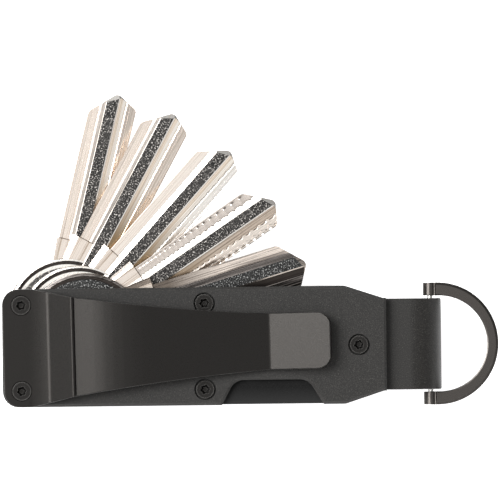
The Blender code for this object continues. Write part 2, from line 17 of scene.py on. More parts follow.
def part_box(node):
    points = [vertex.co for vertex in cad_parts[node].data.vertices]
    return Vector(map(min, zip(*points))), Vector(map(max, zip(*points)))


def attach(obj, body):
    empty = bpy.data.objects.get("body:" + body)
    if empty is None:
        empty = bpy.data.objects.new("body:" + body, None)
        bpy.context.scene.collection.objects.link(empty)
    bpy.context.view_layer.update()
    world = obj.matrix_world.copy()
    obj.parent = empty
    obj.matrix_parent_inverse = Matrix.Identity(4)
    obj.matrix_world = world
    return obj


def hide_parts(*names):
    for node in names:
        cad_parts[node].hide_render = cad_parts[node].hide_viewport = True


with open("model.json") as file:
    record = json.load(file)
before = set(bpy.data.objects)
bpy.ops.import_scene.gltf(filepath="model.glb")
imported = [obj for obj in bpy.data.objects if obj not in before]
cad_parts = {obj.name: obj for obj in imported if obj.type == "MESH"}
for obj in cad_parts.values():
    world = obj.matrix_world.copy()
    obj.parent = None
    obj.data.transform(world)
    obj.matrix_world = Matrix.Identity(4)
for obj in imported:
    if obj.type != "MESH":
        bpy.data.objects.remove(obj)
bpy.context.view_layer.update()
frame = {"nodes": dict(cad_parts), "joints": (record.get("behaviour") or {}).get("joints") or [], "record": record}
MM = 0.001

# %% [markdown]
# ## Camera
# The photograph looks straight down on the front of the case, with so little perspective that
# the deep keys are no smaller than the near ones. A camera three metres up with a very long lens
# gives that view. The case lies a fraction of a degree off level in the picture, so the camera
# is turned by that much.

# %% Aim the camera
CAMERA_HEIGHT = 3.0
PICTURE_WIDTH = 102.04 * MM
PICTURE_MIDDLE = (11.57 * MM, 19.55 * MM)
CASE_ROLL = 0.0112
SENSOR = 36


def new_object(name, data):
    """An object in the scene that holds this data."""
    made = bpy.data.objects.new(name, data)
    bpy.context.collection.objects.link(made)
    return made


front_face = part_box("front_plate")[1].z
camera_data = bpy.data.cameras.new("product_camera")
camera_data.sensor_width = SENSOR
camera_data.lens = SENSOR * CAMERA_HEIGHT / PICTURE_WIDTH
camera_data.clip_end = 4 * CAMERA_HEIGHT
camera = new_object("product_camera", camera_data)
camera.location = (*PICTURE_MIDDLE, front_face + CAMERA_HEIGHT)
camera.rotation_euler = (0, 0, -CASE_ROLL)
bpy.context.scene.camera = camera
print("lens:", round(camera_data.lens), "mm")

# %% [markdown]
# ## A short way to wire shaders
# Every finish is a small tree of shader nodes. One helper adds a node and plugs in plain values
# or other nodes' outputs. The rest make what most finishes share, such as noise of a given grain,
# a ramp of colours and a bump.

# %% Helpers for shader trees


def node(tree, kind, inputs=(), **settings):
    """Adds a node; inputs maps a socket's name or number to a value or to an output."""
    made = tree.nodes.new(kind)
    for key, value in settings.items():
        setattr(made, key, value)
    for key, value in dict(inputs).items():
        if isinstance(value, bpy.types.NodeSocket):
            tree.links.new(value, made.inputs[key])
        else:
            made.inputs[key].default_value = value
    return made


def dot(tree, first, second):
    """How far two directions agree: 1 is the same way and -1 the opposite."""
    made = node(tree, "ShaderNodeVectorMath", {0: first, 1: second}, operation="DOT_PRODUCT")
    return made.outputs["Value"]


def noise(tree, where, grain, detail=2.0):
    """Noise whose spots are about this big."""
    made = node(tree, "ShaderNodeTexNoise", {"Vector": where, "Scale": 1 / grain, "Detail": detail})
    return made.outputs["Fac"]


def ramp(tree, factor, stops):
    """A colour ramp through (place, colour) stops; a colour may be one number for a grey."""
    made = node(tree, "ShaderNodeValToRGB", {"Fac": factor})
    elements = made.color_ramp.elements
    while len(elements) < len(stops):
        elements.new(0.5)
    for element, (place, colour) in zip(elements, stops):
        element.position = place
        element.color = (*colour, 1) if isinstance(colour, tuple) else (colour, colour, colour, 1)
    return made.outputs["Color"]


def fade(tree, value, start, end):
    """0 where the value is at the start, 1 where it is at the end."""
    made = node(tree, "ShaderNodeMapRange", {"Value": value, "From Min": start, "From Max": end})
    return made.outputs["Result"]


def mix(tree, factor, first, colour):
    """A blend from what came first to a plain colour."""
    inputs = {0: factor, 6: first, 7: (*colour, 1)}
    return node(tree, "ShaderNodeMix", inputs, data_type="RGBA").outputs[2]


def bump(tree, height, depth, strength=1.0):
    """A surface lifted by the height, by up to this many metres."""
    made = node(tree, "ShaderNodeBump", {"Height": height, "Distance": depth, "Strength": strength})
    return made.outputs["Normal"]


print("helpers: node, dot, noise, ramp, fade, mix, bump")

# %% [markdown]
# ## Lights
# Small metal goods are photographed in a white tent. One large soft box hangs over the upper
# left, where the brightest facets of the keys look. A long low one lights the edges that face the
# bottom of the picture. Area lights stand for both, because their size sets how soft they are.

# %% Hang the soft boxes


def soft_box(name, place, size, power):
    """An area light that looks at the middle of the object."""
    data = bpy.data.lights.new(name, "AREA")
    data.shape = "RECTANGLE"
    data.size, data.size_y = size
    data.energy = power
    light = new_object(name, data)
    light.location = place
    aim = Vector((*PICTURE_MIDDLE, 0)) - Vector(place)
    light.rotation_euler = aim.to_track_quat("-Z", "Y").to_euler()


soft_box("soft_box_upper_left", (-0.69, 0.3, 1.17), (0.7, 0.8), 21)
soft_box("soft_box_low_front", (0.15, -1.3, 0.45), (1.6, 0.35), 3)
print("soft boxes:", len(bpy.data.lights))

# %% [markdown]
# The sky stands for the tent's cloth: it is white overhead and at the near left, and falls off
# towards the far right, so the edges that face that way go dark. A ramp over the direction does
# that, and metal needs it, because metal shows little but what it reflects.

# %% Make the white tent
TOWARDS_DARK_END = (0.72, 0.69, 0.0)
# The cloth's grey, from the near end to the far one
TENT_GREYS = [(0.0, 0.75), (0.3, 0.86), (0.5, 0.88), (0.72, 0.55), (0.95, 0.16)]

tent = bpy.data.worlds.new("white_tent")
tent.use_nodes = True
sky = tent.node_tree
direction = node(sky, "ShaderNodeTexCoord").outputs["Generated"]
share_away = fade(sky, dot(sky, direction, TOWARDS_DARK_END), -1.0, 1.0)
cloth = sky.nodes["Background"]
sky.links.new(ramp(sky, share_away, TENT_GREYS), cloth.inputs["Color"])
cloth.inputs["Strength"].default_value = 1.0
bpy.context.scene.world = tent
bpy.context.scene.view_settings.view_transform = "Standard"
print("tent:", len(TENT_GREYS), "greys")

# %% [markdown]
# ## Floor
# The organizer lies on a pale sheet. It is set a hair below the back plate's face, because two
# faces at one height would flicker through each other.

# %% Lay the floor
FLOOR_HALF = 3.0
FLOOR_GAP = 0.05 * MM


def as_object(name, bm, finishes=()):
    """An object from the bmesh, which is used up."""
    mesh = bpy.data.meshes.new(name)
    bm.to_mesh(mesh)
    bm.free()
    for finish in finishes:
        mesh.materials.append(finish)
    return new_object(name, mesh)


sheet = bmesh.new()
lowered = Matrix.Translation((0, 0, -FLOOR_GAP))
bmesh.ops.create_grid(sheet, x_segments=1, y_segments=1, size=FLOOR_HALF, matrix=lowered)
floor = as_object("floor", sheet)
print("floor's corner:", tuple(floor.data.vertices[-1].co))

# %% [markdown]
# ## What the finishes share
# Each finish reads the place on the object, so its pattern stays put when a piece moves. Lighter
# corners come from the Bevel node: where a rounded normal leaves the true one, an edge is near.
# They stand for wear, and on the screws also for a painted highlight round each rim and socket.

# %% Helpers for finishes
# How alike the rounded and the true normal are where the lighter edge starts, and where it is full
WEAR_AND_HIGHLIGHT_LIKENESS = (0.99, 0.8)


def new_finish(name, metallic, gloss=0.5):
    """A material, its tree and its shader."""
    finish = bpy.data.materials.new(name)
    finish.use_nodes = True
    shader = finish.node_tree.nodes["Principled BSDF"]
    shader.inputs["Metallic"].default_value = metallic
    shader.inputs["Specular IOR Level"].default_value = gloss
    return finish, finish.node_tree, shader


def plug(tree, shader, tint, rough, normal=None):
    """Links the colour, the roughness and the bumps to the shader."""
    tree.links.new(tint, shader.inputs["Base Color"])
    tree.links.new(rough, shader.inputs["Roughness"])
    if normal:
        tree.links.new(normal, shader.inputs["Normal"])


def object_place(tree):
    """The place on the object, in metres."""
    return node(tree, "ShaderNodeTexCoord").outputs["Object"]


def wear_and_highlight_edges(tree, reach):
    """Near 1 along sharp edges and 0 elsewhere."""
    rounded = node(tree, "ShaderNodeBevel", {"Radius": reach}, samples=4).outputs["Normal"]
    true = node(tree, "ShaderNodeNewGeometry").outputs["Normal"]
    return fade(tree, dot(tree, rounded, true), *WEAR_AND_HIGHLIGHT_LIKENESS)


print("helpers: new_finish, plug, object_place, wear_and_highlight_edges")

# %% [markdown]
# ## Blasted black metal
# The case plates, the liners and the block are aluminium, blasted with fine beads and anodised
# black. Close up that is a dull, slightly warm dark grey full of tiny pale specks, and the sharp
# corners are worn a little lighter. The specks are noise a sixth of a millimetre across. The liner
# is painted darker, as painted shade down in the thumb notch, and that painted shade lifts
# towards the notch's open edge.

# %% Make the blasted black finish
BEAD_MARK = 0.16 * MM
CLOUD = 9 * MM
WEAR_PATCH = 0.5 * MM


def make_blasted(name, dark, light, wear_and_light, roughness, gloss=0.3, shade_lift=None):
    """Specks on a dull ground; the last argument is the span along Y over which painted shade lifts to the lighter
    colour.
    """
    finish, tree, shader = new_finish(name, 0.0, gloss)
    where = object_place(tree)
    specks = noise(tree, where, BEAD_MARK, 3.0)
    clouds = noise(tree, where, CLOUD)
    tint = ramp(tree, specks, [(0.35, dark), (0.6, light), (0.72, wear_and_light)])
    patches = {0: wear_and_highlight_edges(tree, 0.15 * MM), 1: noise(tree, where, WEAR_PATCH)}
    patchy = node(tree, "ShaderNodeMath", patches, operation="MULTIPLY")
    tint = mix(tree, patchy.outputs[0], tint, wear_and_light)
    # Painted shade: darkest at the span's start, by the notch's wall, lighter towards its end
    if shade_lift:
        along = node(tree, "ShaderNodeSeparateXYZ", {0: where}).outputs["Y"]
        tint = mix(tree, fade(tree, along, *shade_lift), tint, wear_and_light)
    rough = ramp(tree, clouds, [(0.3, roughness - 0.04), (0.7, roughness + 0.04)])
    plug(tree, shader, tint, rough, bump(tree, specks, 0.02 * MM, 0.6))
    return finish


case_black = make_blasted(
    "case_black", (0.007, 0.0066, 0.006), (0.022, 0.0205, 0.0188), (0.07, 0.066, 0.06), 0.46
)
# Painted shade: the liner is seen only down the thumb notch, so it is painted darker than the case
liner_in_shade = make_blasted(
    "liner_in_shade", (0.002, 0.002, 0.002), (0.008, 0.008, 0.008), (0.024, 0.024, 0.024), 0.55, 0.1,
    (-8.5 * MM, -12.6 * MM),
)
print("blasted finishes:", case_black.name, liner_in_shade.name)

# %% [markdown]
# ## Satin clip, dark screws, ring and steel
# The clip is steel with a smooth dark coating, warmer and glossier than the plates, so the flared
# tab catches the light. The screws are black oxide steel, the ring is gunmetal and the hidden
# posts, washers and the pin are bare steel. They differ in colour, gloss and the size of grain.

# %% Make the smooth finishes


def make_smooth(name, colour, metallic, roughness, grain, wear_and_light, gloss=0.5, warmth=1.0):
    """Even metal; warmth below 1 takes that much of the blue out of the reflections."""
    finish, tree, shader = new_finish(name, metallic, gloss)
    shader.inputs["Specular Tint"].default_value = (1, (1 + warmth) / 2, warmth, 1)
    fine = noise(tree, object_place(tree), grain, 4.0)
    lighter = tuple(part * 1.35 for part in colour)
    darker = tuple(part * 0.75 for part in colour)
    tint = ramp(tree, fine, [(0.35, darker), (0.65, lighter)])
    # Lighter along the edges: wear, and on the screws a painted highlight round each rim and socket
    tint = mix(tree, wear_and_highlight_edges(tree, 0.12 * MM), tint, wear_and_light)
    rough = ramp(tree, fine, [(0.3, roughness - 0.03), (0.7, roughness + 0.03)])
    plug(tree, shader, tint, rough, bump(tree, fine, 0.006 * MM, 0.5))
    return finish


clip_satin = make_smooth(
    "clip_satin", (0.0054, 0.0051, 0.0049), 0.0, 0.29, 0.1 * MM, (0.03, 0.028, 0.026), 0.26, 0.89
)
# The screws' pale edge colour is a painted highlight on their rims and sockets, partly wear
screw_black = make_smooth(
    "screw_black", (0.006, 0.0057, 0.0055), 0.0, 0.28, 0.08 * MM, (0.18, 0.174, 0.165), 0.25, 0.9
)
ring_gunmetal = make_smooth(
    "ring_gunmetal", (0.074, 0.068, 0.063), 1.0, 0.3, 0.1 * MM, (0.24, 0.23, 0.22)
)
bare_steel = make_smooth(
    "bare_steel", (0.6, 0.59, 0.57), 1.0, 0.25, 0.12 * MM, (0.75, 0.74, 0.72)
)
print("smooth finishes:", clip_satin.name, screw_black.name, ring_gunmetal.name, bare_steel.name)

# %% [markdown]
# The floor is a sheet lit from below, which keeps the shadows faint. A little emission on matt
# paper does that without one more lamp.

# %% Finish the floor
SHEET_GLOW = 0.75

floor_finish, floor_tree, floor_shader = new_finish("white_floor", 0.0)
fibres = noise(floor_tree, object_place(floor_tree), 40 * MM)
paper = ramp(floor_tree, fibres, [(0.3, 0.9), (0.7, 0.92)])
floor_tree.links.new(paper, floor_shader.inputs["Base Color"])
floor_shader.inputs["Roughness"].default_value = 0.9
floor_shader.inputs["Emission Color"].default_value = (1, 1, 1, 1)
floor_shader.inputs["Emission Strength"].default_value = SHEET_GLOW
floor.data.materials.append(floor_finish)
print("floor finish:", floor_finish.name)

# %% [markdown]
# ## Dress the solids
# Most solids already have the right shape, so they keep it and only take their finish here.

# %% Give each solid its finish
FINISHES = {
    "anodised": case_black, "liner": liner_in_shade, "block": case_black, "clip": clip_satin,
    "screw": screw_black, "steel": bare_steel, "ring": ring_gunmetal,
}
slots = {part["node"]: part["material_slot"] for part in frame["record"]["subparts"]}
for name, solid in frame["nodes"].items():
    if slots[name] in FINISHES:
        solid.data.materials.clear()
        solid.data.materials.append(FINISHES[slots[name]])
print("dressed:", sum(slots[name] in FINISHES for name in frame["nodes"]))

# %% [markdown]
# ## Key metal
# The keys are nickel silver, a pale, warm metal. Their slopes are milled along the blade, so the
# finish has fine streaks that run from bow to tip. A map of the key's own plan, in millimetres,
# carries the streaks along each key, however it is turned. The rib and the bow's face were never
# milled: they are dark, rough cast metal with bright specks and scratches.

# %% Helpers for key metal
KEY_MAP = "key_plan"
# Painted shade towards the bow, where the keys lie over each other: none past the first place along the key, full
# inside the second
ROOT_SHADE_FADES = (37.0, 25.0)


def key_place(tree, stretch=(1, 1)):
    """The place on the key in millimetres, with patterns stretched along and across the blade."""
    plan = node(tree, "ShaderNodeUVMap", uv_map=KEY_MAP).outputs["UV"]
    squeeze = (1 / stretch[0], 1 / stretch[1], 1)
    made = node(tree, "ShaderNodeVectorMath", {0: plan, 1: squeeze}, operation="MULTIPLY")
    return made.outputs["Vector"]


def make_milled(name, colour, shadow, roughness, width=0.16, root_shade=None):
    """Streaks of the shadow colour, this many millimetres wide; the last argument paints shade near the bow."""
    finish, tree, shader = new_finish(name, 1.0)
    streaks = noise(tree, key_place(tree, (90, 1)), width, 2.0)
    spots = noise(tree, key_place(tree, (3, 1)), 0.5, 3.0)
    scores = noise(tree, key_place(tree, (260, 1)), 0.11, 1.0)
    scored = tuple(part * 0.62 for part in shadow)
    tint = ramp(tree, streaks, [(0.34, shadow), (0.5, colour)])
    tint = mix(tree, ramp(tree, spots, [(0.55, 0.0), (0.8, 0.4)]), tint, shadow)
    tint = mix(tree, ramp(tree, scores, [(0.63, 0.0), (0.7, 0.8)]), tint, scored)
    # Painted shade towards the bow, where the next key lies over this one
    if root_shade:
        along = node(tree, "ShaderNodeSeparateXYZ", {0: key_place(tree)}).outputs["X"]
        tint = mix(tree, fade(tree, along, *ROOT_SHADE_FADES), tint, root_shade)
    rough = ramp(tree, streaks, [(0.3, roughness + 0.06), (0.7, roughness - 0.04)])
    plug(tree, shader, tint, rough, bump(tree, streaks, 0.008 * MM, 0.6))
    return finish


def make_cast(name, ground, speck):
    """Dark, rough metal with bright specks and scratches across the blade."""
    finish, tree, shader = new_finish(name, 0.6)
    specks = noise(tree, key_place(tree, (1, 1.4)), 0.25, 1.5)
    clouds = noise(tree, key_place(tree), 2.5, 2.0)
    scratches = noise(tree, key_place(tree, (1, 7)), 0.22, 1.0)
    middle = tuple((low + high) * 0.15 for low, high in zip(ground, speck))
    darkest = tuple(part * 0.2 for part in ground)
    tint = ramp(tree, specks, [(0.36, darkest), (0.52, ground), (0.6, middle), (0.67, speck)])
    tint = mix(tree, ramp(tree, clouds, [(0.35, 0.0), (0.75, 0.3)]), tint, middle)
    tint = mix(tree, ramp(tree, scratches, [(0.66, 0.0), (0.74, 0.5)]), tint, speck)
    shader.inputs["Roughness"].default_value = 0.38
    tree.links.new(tint, shader.inputs["Base Color"])
    tree.links.new(bump(tree, specks, 0.06 * MM, 0.7), shader.inputs["Normal"])
    return finish


print("painted root shade reaches", ROOT_SHADE_FADES[0], "mm")

# %% [markdown]
# Each facet has a recipe of its own. The ledges are cream, and some slopes are white or ruled
# with fine lines; the whitest recipe is a painted highlight, where a facet catches the soft box.
# Painted shade browns the slopes near the bow, where the keys lie over each other, and darkens
# the fourth and fifth keys' shaded facets. So a table holds a recipe for each, and a loop makes
# them all.

# %% Make the key finishes
# Painted shade near the bow, where the keys overlap; the second is the fifth key's
ROOT_SHADE = (0.3, 0.21, 0.12)
DARK_KEY_ROOT_SHADE = (0.15, 0.125, 0.105)
# The metal's colour, the streaks' colour, roughness, the streaks' width, and the painted shade
# at the root
MILLED = {
    "cream": ((0.93, 0.85, 0.77), (0.76, 0.65, 0.56), 0.17),
    "fawn": ((0.76, 0.675, 0.6), (0.56, 0.475, 0.41), 0.2),
    # A darker, greyer copy of the cream, for the fourth key's long ledge
    "dusty": ((0.62, 0.56, 0.51), (0.42, 0.37, 0.33), 0.24),
    "browned": ((0.8, 0.71, 0.63), (0.58, 0.49, 0.42), 0.2, 0.16, ROOT_SHADE),
    # The whitest copy of the metal: a painted highlight on facets and thin lines that catch the soft box
    "polished": ((0.98, 0.95, 0.9), (0.88, 0.8, 0.72), 0.2),
    "ruled": ((0.57, 0.52, 0.475), (0.22, 0.2, 0.18), 0.4, 0.24),
    "tan": ((0.92, 0.79, 0.66), (0.6, 0.48, 0.38), 0.22, 0.16, ROOT_SHADE),
    "blushed": ((0.99, 0.93, 0.85), (0.84, 0.73, 0.62), 0.18, 0.16, ROOT_SHADE),
    # Painted shade on the fourth key's short side, which lies under the fifth key
    "tarnished": ((0.62, 0.52, 0.43), (0.28, 0.22, 0.17), 0.24, 0.3, ROOT_SHADE),
    "shaded": ((0.8, 0.71, 0.63), (0.16, 0.135, 0.12), 0.24, 0.32, DARK_KEY_ROOT_SHADE),
    "dim": ((0.24, 0.215, 0.2), (0.016, 0.014, 0.012), 0.26, 0.36),
    "unlit": ((0.045, 0.038, 0.034), (0.012, 0.01, 0.009), 0.3),
    # Painted shade on the ticks' sides that face the tip
    "sooty": ((0.32, 0.28, 0.25), (0.14, 0.12, 0.105), 0.34, 0.3),
    "edge": ((0.38, 0.35, 0.32), (0.19, 0.175, 0.16), 0.5, 0.3),
    "collar": ((0.86, 0.77, 0.69), (0.52, 0.42, 0.33), 0.2, 0.28),
}
metal = {name: make_milled(f"key_{name}", *recipe) for name, recipe in MILLED.items()}
metal["cast"] = make_cast("key_cast", (0.014, 0.013, 0.012), (0.66, 0.62, 0.58))
metal["cast_dark"] = make_cast("key_cast_dark", (0.006, 0.006, 0.006), (0.4, 0.4, 0.39))
print("key finishes:", len(metal))

# %% [markdown]
# ## Milled keys
# Each blade has one section all along: a flat rib, a slope down to a ledge on either side, and a
# lower band out to the edge. The sizes below are a typical key's. Keys lie loosely on their
# pivot, so each blade and bow is shifted sideways by an amount of its own.

# %% Name the key's sizes, in millimetres
BOW_RADIUS = 12.4
BOW_ALONG = 5.9
HOLE_RADIUS = 2.8
BLADE_HALF = 4.75
COLLAR_STATIONS = [(BOW_ALONG, 5.9), (16.5, 5.9), (21.8, 6.4)]
COLLAR_END = 22.0
COLLAR_EDGE = 0.5
COLLAR_TOP = 0.86
COLLAR_SLOPE = 0.8
TIP_REACH = 53.38
# How far past the tip the blade runs before its point is cut
PAST_TIP = 1
BLADE_SHIFTS = [0.7, 2.2, 0.8, 0.0, 1.9]
BOW_SHIFTS = [0.8, 1.5, 0.0, -0.6, 1.1]
# Across the top of the blade, from the long side to the short side: place and height.
# The first kind has a plain facet beside the rib, the second has fine grooves there.
PLAIN_TOP = [
    (4.75, 0.26), (4.62, 0.41), (4.46, 0.41), (4.14, 0.41), (3.95, 0.42), (3.88, 0.4),
    (2.72, 0.42), (2.62, 0.5), (2.5, 0.64), (1.58, 0.93), (1.5, 0.96), (-0.83, 0.96),
    (-1.05, 0.9), (-1.1, 0.8), (-1.75, 0.73), (-2.45, 0.66), (-2.62, 0.5), (-2.9, 0.52),
    (-3.62, 0.36), (-3.74, 0.44), (-4.3, 0.4), (-4.42, 0.34), (-4.64, 0.36), (-4.75, 0.26),
]
GROOVED_TOP = [
    (4.75, 0.26), (4.6, 0.4), (4.16, 0.41), (4.08, 0.39), (3.2, 0.42), (2.85, 0.43),
    (2.7, 0.6), (2.58, 0.64), (2.5, 0.6), (2.34, 0.66), (2.26, 0.62), (2.1, 0.74),
    (2.00, 0.7), (1.86, 0.8), (1.76, 0.78), (1.6, 0.93), (1.5, 0.96), (-0.83, 0.96),
    (-1.05, 0.9), (-1.1, 0.8), (-1.75, 0.73), (-2.4, 0.66), (-2.55, 0.54), (-2.7, 0.6),
    (-2.82, 0.52), (-3.3, 0.42), (-3.42, 0.5), (-3.8, 0.38), (-3.92, 0.46), (-4.36, 0.36),
    (-4.46, 0.42), (-4.64, 0.36), (-4.75, 0.26),
]
TOPS = [GROOVED_TOP, GROOVED_TOP, PLAIN_TOP, PLAIN_TOP, GROOVED_TOP]
print("points across the top:", len(PLAIN_TOP), "or", len(GROOVED_TOP))

# %% [markdown]
# The fourth key's sides were cut in steps with a round cutter, and the steps grow longer towards
# the tip. Between two crests the cut is a shallow arc, so how deep it goes follows from the
# cutter's radius and from how far the place is from the middle of its step.

# %% Work out the cutter's steps
FIRST_MARK = 0.2
FIRST_STEP = 0.85
STEP_GROWTH_SHARE = 0.047
CUTTER_RADIUS = 2.0
# How strongly each side of each key shows the cutter's steps: long side, short side
STEP_SHARES = [(0.0, 0.1), (0.08, 0.22), (0.0, 0.4), (1.0, 1.0), (0.0, 0.0)]


def cutter_marks():
    """The places of the crests the cutter left along the blade."""
    marks = [COLLAR_END + FIRST_MARK]
    step = FIRST_STEP
    while marks[-1] < TIP_REACH + 2 * PAST_TIP:
        marks.append(marks[-1] + step)
        step *= 1 + STEP_GROWTH_SHARE
    return marks


MARKS = cutter_marks()


def step_depth(along):
    """How deep the round cutter went here, nothing at a crest."""
    for start, end in zip(MARKS, MARKS[1:]):
        if start <= along < end:
            half = (end - start) / 2
            return (half ** 2 - (along - start - half) ** 2) / (2 * CUTTER_RADIUS)
    return 0


print("cutter steps:", len(MARKS), "the last one", round(MARKS[-1] - MARKS[-2], 2), "mm long")

# %% [markdown]
# A shape with one section all along is a job for a loft: the same ring of points is repeated at
# many stations and skinned. The collar is the same ring made wider and higher. Where the cutter
# went, the ring's ledge moves out and its edge sinks by a share of the cut's depth.

# %% Skin rings of points
STATION_PITCH = 0.09
# Bands by distance from the middle line, and the share of the cut that moves their points
MOVED_OUT = [(2.2, 4.0, 1.3)]
MOVED_DOWN = [(4.1, 4.5, 0.5), (1.65, 4.1, 0.12)]
# Only the part of the section outside this is widened
WIDENS_FROM = 3.2
LEAST_HEIGHT = 0.1


def share_at(place, bands):
    """The share of the band that this distance from the middle line lies in."""
    return next((share for near, far, share in bands if near < abs(place) < far), 0)


def across(along, top, half_width, depths=(0, 0), collar=False):
    """The ring of points round the section here: the top, and the same turned over below."""
    ring = []
    for place, height in top:
        side = 1 if place > 0 else -1
        depth = depths[0] if place > 0 else depths[1]
        out = max(0, abs(place) - WIDENS_FROM) / (BLADE_HALF - WIDENS_FROM)
        wide = abs(place) + out * (half_width - BLADE_HALF)
        wide += depth * share_at(place, MOVED_OUT)
        low = depth * share_at(place, MOVED_DOWN)
        if collar:
            inward = min(1, (half_width - wide) / COLLAR_SLOPE)
            height = max(height, COLLAR_EDGE + (COLLAR_TOP - COLLAR_EDGE) * inward)
        ring.append((along, side * min(wide, half_width), max(height - low, LEAST_HEIGHT)))
    return ring + [(along, place, -height) for along, place, height in reversed(ring)]


def skin(rings):
    """A closed mesh through rings of points, each ring joined to the next."""
    bm = bmesh.new()
    rings = [[bm.verts.new(point) for point in ring] for ring in rings]
    for ring, following in zip(rings, rings[1:]):
        for index in range(len(ring)):
            bm.faces.new((ring[index - 1], ring[index], following[index], following[index - 1]))
    bm.faces.new(rings[0])
    bm.faces.new(rings[-1])
    bmesh.ops.recalc_face_normals(bm, faces=bm.faces)
    return bm


print("points in a ring:", len(across(COLLAR_END, PLAIN_TOP, BLADE_HALF)))

# %% [markdown]
# The pointed end is cut with planes, much as a real blank is ground: upright ones give the
# outline, and slanted ones give the bright bevel round the tip. The bevel on the long side
# starts as a sliver and widens towards the point.

# %% Cut the tip
TIP_ASIDE = -0.35
LONG_SLOPE = 4.9
SHORT_SLOPE = 2.6
TIP_RADIUS = 1.2
SHOULDER_CUT = 0.16
ROUNDING_SHARES = (0.17, 0.38, 0.62, 0.83)
RIB_TOP = 0.96
# Each slanted cut: a point and a direction in plan where it leaves the rib's top, and its fall
BEVELS = [
    ((51.2, 1.44), (0.886, 0.464), 0.44),
    ((52.45, -0.6), (1.0, 0.0), 0.5),
    ((52.45, -0.83), (0.861, -0.509), 0.58),
]


def plane_cut(bm, point, direction):
    """Cuts off what lies past the plane and closes the cut."""
    geometry = [*bm.verts, *bm.edges, *bm.faces]
    bmesh.ops.bisect_plane(
        bm, geom=geometry, plane_co=point, plane_no=direction, clear_outer=True, dist=1e-5
    )
    rim = [edge for edge in bm.edges if edge.is_boundary]
    bmesh.ops.holes_fill(bm, edges=rim, sides=0)


def outline_cuts():
    """The points and outward directions, in plan, of the upright cuts round the tip."""
    corner = Vector((TIP_REACH, TIP_ASIDE))
    long_end = Vector((TIP_REACH - LONG_SLOPE, BLADE_HALF))
    short_end = Vector((TIP_REACH - SHORT_SLOPE, -BLADE_HALF))
    slopes = []
    shoulders = []
    for end, side in ((long_end, 1), (short_end, -1)):
        run = (end - corner).normalized()
        outward = Vector((run.y, -run.x)) * side
        shoulder = (outward + Vector((0, side))).normalized()
        slopes.append((corner, outward))
        shoulders.append((end - shoulder * SHOULDER_CUT, shoulder))
    first, second = slopes[0][1], slopes[1][1]
    middle = (first + second).normalized()
    centre = corner - middle * (TIP_RADIUS / math.cos(first.angle(second) / 2))
    turns = [first.slerp(second, share) for share in ROUNDING_SHARES]
    return slopes + shoulders + [(centre + outward * TIP_RADIUS, outward) for outward in turns]


print("upright cuts round the tip:", len(outline_cuts()))

# %% [markdown]
# A blade starts as a lofted blank that runs past its tip, and is then cut. The slanted cuts are
# made on both faces, because such a key works either way up.

# %% Make a blade


def make_blade(index):
    """The collar and blade of one key, lying along X, in millimetres."""
    top = TOPS[index]
    stations = [across(along, top, half, collar=True) for along, half in COLLAR_STATIONS]
    length = TIP_REACH + PAST_TIP - COLLAR_END
    count = int(length / STATION_PITCH) if any(STEP_SHARES[index]) else 1
    for station in range(count + 1):
        along = COLLAR_END + length * station / count
        depths = [share * step_depth(along) for share in STEP_SHARES[index]]
        stations.append(across(along, top, BLADE_HALF, depths))
    bm = skin(stations)
    for point, outward in outline_cuts():
        plane_cut(bm, (*point, 0), (*outward, 0))
    for point, outward, fall in BEVELS:
        for up in (1, -1):
            plane_cut(bm, (*point, up * RIB_TOP), (outward[0] * fall, outward[1] * fall, up))
    return bm


print("blank past the collar:", round(TIP_REACH + PAST_TIP - COLLAR_END, 2), "mm")

# %% [markdown]
# The bow is a disc. Turning a profile with Spin gives its rim: a rough face inside, a band, a
# groove, then the rim. The band and the rim later take a painted highlight and the groove painted
# shade. The pivot hole isn't in the middle of the disc, so it is cut afterwards with a Boolean.

# %% Turn the bow and cut its hole
BOW_PROFILE = [
    (0, 1.0), (10.5, 1.0), (11.15, 0.98), (11.22, 0.88), (11.82, 0.88), (11.88, 0.96),
    (12.22, 0.92), (12.39, 0.5),
]
BOW_STEPS = 128
HOLE_STEPS = 48
THROUGH_KEY = 3


def turn(profile, steps):
    """A closed mesh of a profile of (radius, height) points turned about Z."""
    bm = bmesh.new()
    points = [bm.verts.new((radius, 0, height)) for radius, height in profile]
    edges = [bm.edges.new(pair) for pair in zip(points, points[1:])]
    bmesh.ops.spin(
        bm, geom=points + edges, cent=(0, 0, 0), axis=(0, 0, 1), angle=math.tau, steps=steps,
        use_merge=True,
    )
    bmesh.ops.remove_doubles(bm, verts=bm.verts, dist=1e-6)
    bmesh.ops.recalc_face_normals(bm, faces=bm.faces)
    return bm


def round_bar(radius, reach):
    """A round bar along Z that reaches this far up and down, to cut a hole with."""
    return turn([(0, reach), (radius, reach), (radius, -reach), (0, -reach)], HOLE_STEPS)


def freeze(piece):
    """Makes what the piece's modifiers show its plain mesh, and takes them off."""
    graph = bpy.context.evaluated_depsgraph_get()
    piece.data = bpy.data.meshes.new_from_object(piece.evaluated_get(graph), depsgraph=graph)
    piece.modifiers.clear()


def combine(piece, other, operation="DIFFERENCE"):
    """Cuts the other object out of the piece, or joins it on, and removes the other."""
    step = piece.modifiers.new("combine", "BOOLEAN")
    step.operation = operation
    step.object = other
    freeze(piece)
    bpy.data.objects.remove(other, do_unlink=True)


def make_bow(shift):
    """The bow's disc, in millimetres, with the pivot hole at the origin."""
    profile = BOW_PROFILE + [(radius, -height) for radius, height in reversed(BOW_PROFILE)]
    bow = as_object("bow", turn(profile, BOW_STEPS))
    bow.data.transform(Matrix.Translation((BOW_ALONG, shift, 0)))
    combine(bow, as_object("bore", round_bar(HOLE_RADIUS, THROUGH_KEY)))
    return bow


print("bow:", 2 * BOW_PROFILE[-1][0], "mm across")

# %% [markdown]
# Every face of a key is sorted into one of eleven finishes, by where it lies and which way it
# looks. Choosing by place keeps the sorting right when a section or a cut is changed.

